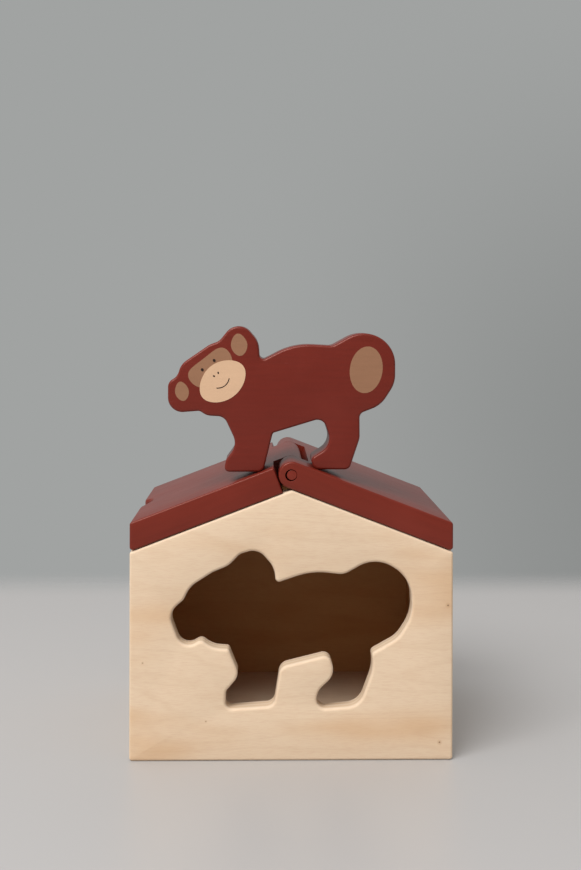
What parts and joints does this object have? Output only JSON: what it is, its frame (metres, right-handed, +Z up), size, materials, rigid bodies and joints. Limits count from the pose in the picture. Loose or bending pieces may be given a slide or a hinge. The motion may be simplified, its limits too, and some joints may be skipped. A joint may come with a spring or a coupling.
{
  "type": "shape sorter house",
  "caption": "Wooden shape sorter house with a hinged roof lid, an animal-shaped cut-out in its front wall and a matching monkey block.",
  "frame": {"origin": "middle of the whole toy's footprint, on the surface that it stands on", "axes": "+Z up, -Y towards the front wall with the cut-out, +X to the right seen from the front"},
  "size_m": [0.145, 0.115, 0.1943],
  "materials": {
    "plywood": "bare sanded birch plywood",
    "red_painted_wood": "satin brick-red paint on wood",
    "beech": "bare turned beech"
  },
  "bodies": {
    "house": {"front_gable_wall": "plywood", "back_gable_wall": "plywood", "left_side_wall": "plywood", "right_side_wall": "plywood", "floor_panel": "plywood", "fixed_roof_board": "red_painted_wood", "front_left_dowel_1": "beech", "front_left_dowel_2": "beech", "front_right_dowel_1": "beech", "front_right_dowel_2": "beech", "front_floor_dowel_1": "beech", "front_floor_dowel_2": "beech", "front_roof_dowel_1": "beech", "front_roof_dowel_2": "beech", "back_left_dowel_1": "beech", "back_left_dowel_2": "beech", "back_right_dowel_1": "beech", "back_right_dowel_2": "beech", "back_floor_dowel_1": "beech", "back_floor_dowel_2": "beech", "back_roof_dowel_1": "beech", "back_roof_dowel_2": "beech", "left_floor_dowel_1": "beech", "left_floor_dowel_2": "beech", "right_floor_dowel_1": "beech", "right_floor_dowel_2": "beech", "side_roof_dowel_1": "beech", "side_roof_dowel_2": "beech"},
    "lid": {"lid_roof_board": "red_painted_wood", "front_hinge_pin": "red_painted_wood", "back_hinge_pin": "red_painted_wood"},
    "monkey": {"monkey_block": "red_painted_wood"}
  },
  "joints": [
    {"name": "lid_hinge", "type": "hinge", "parent": "house", "child": "lid", "pos_m": [0, 0, 0.12778], "axis": [0, 1, 0], "range_deg": [0, 134]},
    {"name": "monkey_lift", "type": "slide", "parent": "house", "child": "monkey", "axis": [0, 0, 1], "range_m": [0, 0.25]}
  ],
  "couplings": [
    {"joint": "monkey_lift", "follows": "lid_hinge", "m_per_rad": 0.106}
  ]
}
